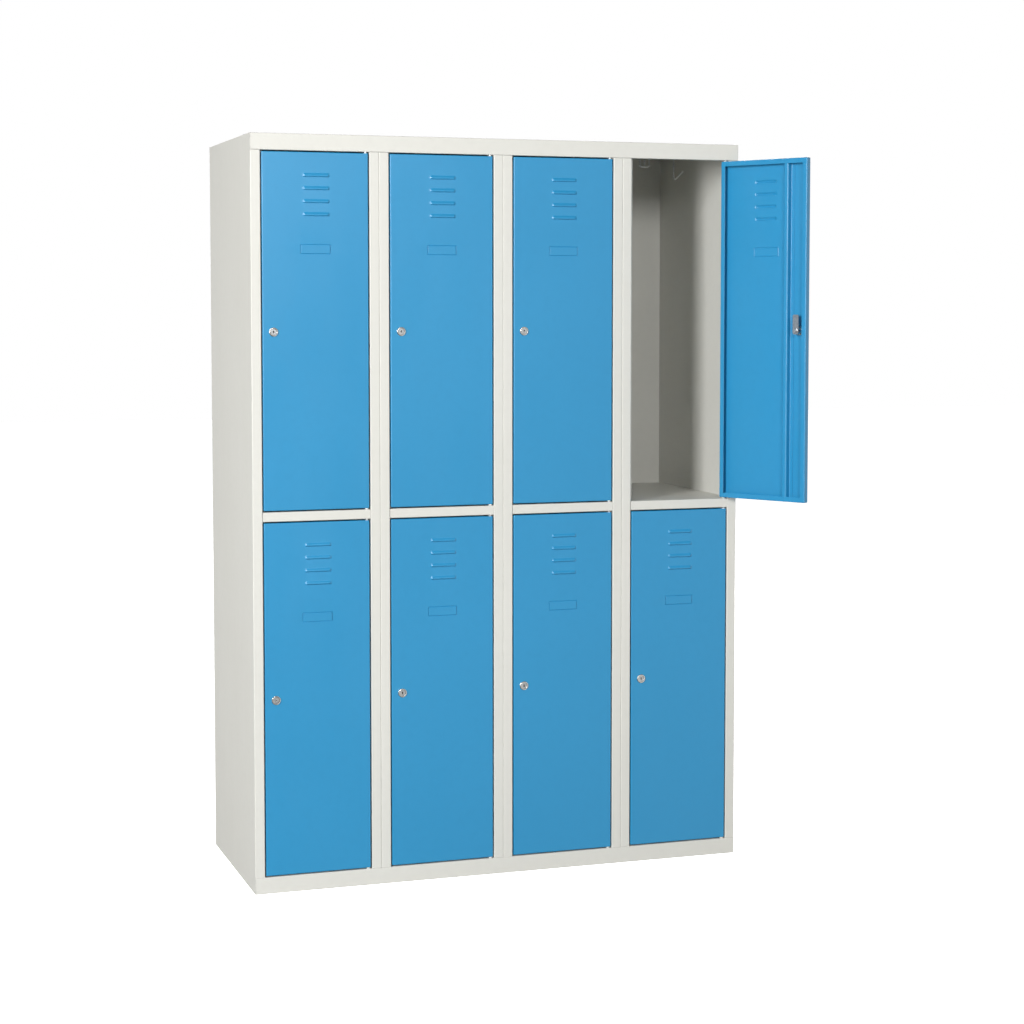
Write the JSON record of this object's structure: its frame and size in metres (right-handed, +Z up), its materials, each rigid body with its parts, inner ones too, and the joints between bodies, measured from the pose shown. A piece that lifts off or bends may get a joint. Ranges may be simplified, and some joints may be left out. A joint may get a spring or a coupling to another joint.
{
  "type": "locker cabinet",
  "caption": "Sheet-steel locker cabinet in two tiers, with hinged pan doors, louvres, cam locks, shelves and coat hooks for storing clothes and bags.",
  "frame": {"origin": "centre of the footprint, on the floor", "axes": "+X to the right seen from the front, +Y into the cabinet towards its back, +Z up"},
  "size_m": [1.2935, 0.6995, 1.74],
  "materials": {
    "cabinet_paint": "satin powder coat, light grey white",
    "door_paint": "satin powder coat, light blue",
    "nickel": "polished nickel plate",
    "zinc_plate": "bright zinc plate",
    "white_nylon": "natural nylon",
    "hook_wire": "bright zinc-plated wire"
  },
  "bodies": {
    "cabinet": {"side_panel_left": "cabinet_paint", "side_panel_right": "cabinet_paint", "top_panel": "cabinet_paint", "bottom_panel": "cabinet_paint", "back_panel": "cabinet_paint", "partition_1": "cabinet_paint", "partition_2": "cabinet_paint", "partition_3": "cabinet_paint", "hinge_stile_1": "cabinet_paint", "hinge_stile_2": "cabinet_paint", "hinge_stile_3": "cabinet_paint", "shelf_1": "cabinet_paint", "shelf_2": "cabinet_paint", "shelf_3": "cabinet_paint", "shelf_4": "cabinet_paint", "hinge_pins": "zinc_plate", "single_hooks": "hook_wire", "double_hooks": "hook_wire"},
    "lower_door_1": {"lower_door_1_panel": "door_paint", "lower_door_1_stiffener": "door_paint", "lower_door_1_bushes": "white_nylon", "lower_door_1_lock_body": "nickel"},
    "lower_lock_1": {"lower_door_1_lock_cam": "zinc_plate"},
    "lower_door_2": {"lower_door_2_panel": "door_paint", "lower_door_2_stiffener": "door_paint", "lower_door_2_bushes": "white_nylon", "lower_door_2_lock_body": "nickel"},
    "lower_lock_2": {"lower_door_2_lock_cam": "zinc_plate"},
    "lower_door_3": {"lower_door_3_panel": "door_paint", "lower_door_3_stiffener": "door_paint", "lower_door_3_bushes": "white_nylon", "lower_door_3_lock_body": "nickel"},
    "lower_lock_3": {"lower_door_3_lock_cam": "zinc_plate"},
    "lower_door_4": {"lower_door_4_panel": "door_paint", "lower_door_4_stiffener": "door_paint", "lower_door_4_bushes": "white_nylon", "lower_door_4_lock_body": "nickel"},
    "lower_lock_4": {"lower_door_4_lock_cam": "zinc_plate"},
    "upper_door_1": {"upper_door_1_panel": "door_paint", "upper_door_1_stiffener": "door_paint", "upper_door_1_bushes": "white_nylon", "upper_door_1_lock_body": "nickel"},
    "upper_lock_1": {"upper_door_1_lock_cam": "zinc_plate"},
    "upper_door_2": {"upper_door_2_panel": "door_paint", "upper_door_2_stiffener": "door_paint", "upper_door_2_bushes": "white_nylon", "upper_door_2_lock_body": "nickel"},
    "upper_lock_2": {"upper_door_2_lock_cam": "zinc_plate"},
    "upper_door_3": {"upper_door_3_panel": "door_paint", "upper_door_3_stiffener": "door_paint", "upper_door_3_bushes": "white_nylon", "upper_door_3_lock_body": "nickel"},
    "upper_lock_3": {"upper_door_3_lock_cam": "zinc_plate"},
    "upper_door_4": {"upper_door_4_panel": "door_paint", "upper_door_4_stiffener": "door_paint", "upper_door_4_bushes": "white_nylon", "upper_door_4_lock_body": "nickel"},
    "upper_lock_4": {"upper_door_4_lock_cam": "zinc_plate"}
  },
  "joints": [
    {"name": "lower_door_1_hinge", "type": "hinge", "parent": "cabinet", "child": "lower_door_1", "pos_m": [-0.3315, -0.24, 0.4485], "axis": [0, 0, 1], "range_deg": [0, 120]},
    {"name": "lower_lock_1_turn", "type": "hinge", "parent": "lower_door_1", "child": "lower_lock_1", "pos_m": [-0.549, -0.245, 0.4485], "axis": [0, -1, 0], "range_deg": [0, 90]},
    {"name": "lower_door_2_hinge", "type": "hinge", "parent": "cabinet", "child": "lower_door_2", "pos_m": [-0.0315, -0.24, 0.4485], "axis": [0, 0, 1], "range_deg": [0, 120]},
    {"name": "lower_lock_2_turn", "type": "hinge", "parent": "lower_door_2", "child": "lower_lock_2", "pos_m": [-0.249, -0.245, 0.4485], "axis": [0, -1, 0], "range_deg": [0, 90]},
    {"name": "lower_door_3_hinge", "type": "hinge", "parent": "cabinet", "child": "lower_door_3", "pos_m": [0.2685, -0.24, 0.4485], "axis": [0, 0, 1], "range_deg": [0, 120]},
    {"name": "lower_lock_3_turn", "type": "hinge", "parent": "lower_door_3", "child": "lower_lock_3", "pos_m": [0.051, -0.245, 0.4485], "axis": [0, -1, 0], "range_deg": [0, 90]},
    {"name": "lower_door_4_hinge", "type": "hinge", "parent": "cabinet", "child": "lower_door_4", "pos_m": [0.5685, -0.24, 0.4485], "axis": [0, 0, 1], "range_deg": [0, 120]},
    {"name": "lower_lock_4_turn", "type": "hinge", "parent": "lower_door_4", "child": "lower_lock_4", "pos_m": [0.351, -0.245, 0.4485], "axis": [0, -1, 0], "range_deg": [0, 90]},
    {"name": "upper_door_1_hinge", "type": "hinge", "parent": "cabinet", "child": "upper_door_1", "pos_m": [-0.3315, -0.24, 1.2915], "axis": [0, 0, 1], "range_deg": [0, 120]},
    {"name": "upper_lock_1_turn", "type": "hinge", "parent": "upper_door_1", "child": "upper_lock_1", "pos_m": [-0.549, -0.245, 1.2915], "axis": [0, -1, 0], "range_deg": [0, 90]},
    {"name": "upper_door_2_hinge", "type": "hinge", "parent": "cabinet", "child": "upper_door_2", "pos_m": [-0.0315, -0.24, 1.2915], "axis": [0, 0, 1], "range_deg": [0, 120]},
    {"name": "upper_lock_2_turn", "type": "hinge", "parent": "upper_door_2", "child": "upper_lock_2", "pos_m": [-0.249, -0.245, 1.2915], "axis": [0, -1, 0], "range_deg": [0, 90]},
    {"name": "upper_door_3_hinge", "type": "hinge", "parent": "cabinet", "child": "upper_door_3", "pos_m": [0.2685, -0.24, 1.2915], "axis": [0, 0, 1], "range_deg": [0, 120]},
    {"name": "upper_lock_3_turn", "type": "hinge", "parent": "upper_door_3", "child": "upper_lock_3", "pos_m": [0.051, -0.245, 1.2915], "axis": [0, -1, 0], "range_deg": [0, 90]},
    {"name": "upper_door_4_hinge", "type": "hinge", "parent": "cabinet", "child": "upper_door_4", "pos_m": [0.5685, -0.24, 1.2915], "axis": [0, 0, 1], "range_deg": [-120, 0]},
    {"name": "upper_lock_4_turn", "type": "hinge", "parent": "upper_door_4", "child": "upper_lock_4", "pos_m": [0.68158, -0.42586, 1.2915], "axis": [0.866, 0.5, 0], "range_deg": [0, 90]}
  ]
}
